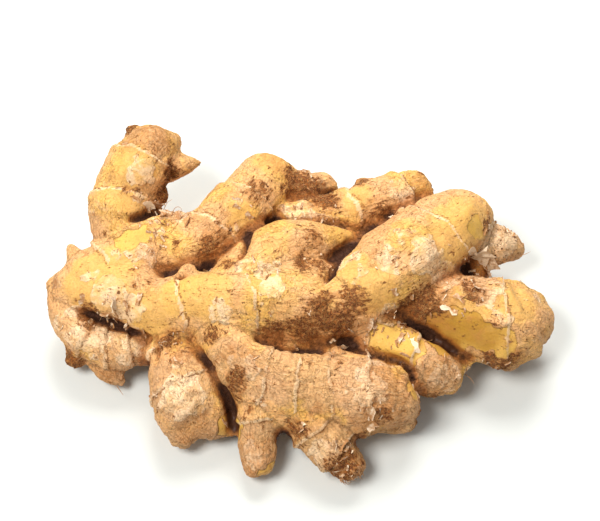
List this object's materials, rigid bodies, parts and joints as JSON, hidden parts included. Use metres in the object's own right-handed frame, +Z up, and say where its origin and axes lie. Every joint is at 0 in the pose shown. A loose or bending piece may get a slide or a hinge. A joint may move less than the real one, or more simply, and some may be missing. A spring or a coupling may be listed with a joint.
{
  "type": "ginger root",
  "caption": "Fresh ginger rhizome: a hand of knobbly, ringed fingers that branch from one stem, lying on its flat side.",
  "frame": {"origin": "centre of the footprint's bounding box, on the surface the rhizome lies on", "axes": "+X towards the thick right-hand fingers, -Y towards the near fingers and their stubs, +Z up"},
  "size_m": [0.1862, 0.1332, 0.0488],
  "materials": {
    "ginger_skin": "thin dry papery skin, matt, rubbed smooth and slightly waxy in places"
  },
  "bodies": {
    "root": {"ginger_rhizome": "ginger_skin"}
  },
  "joints": []
}
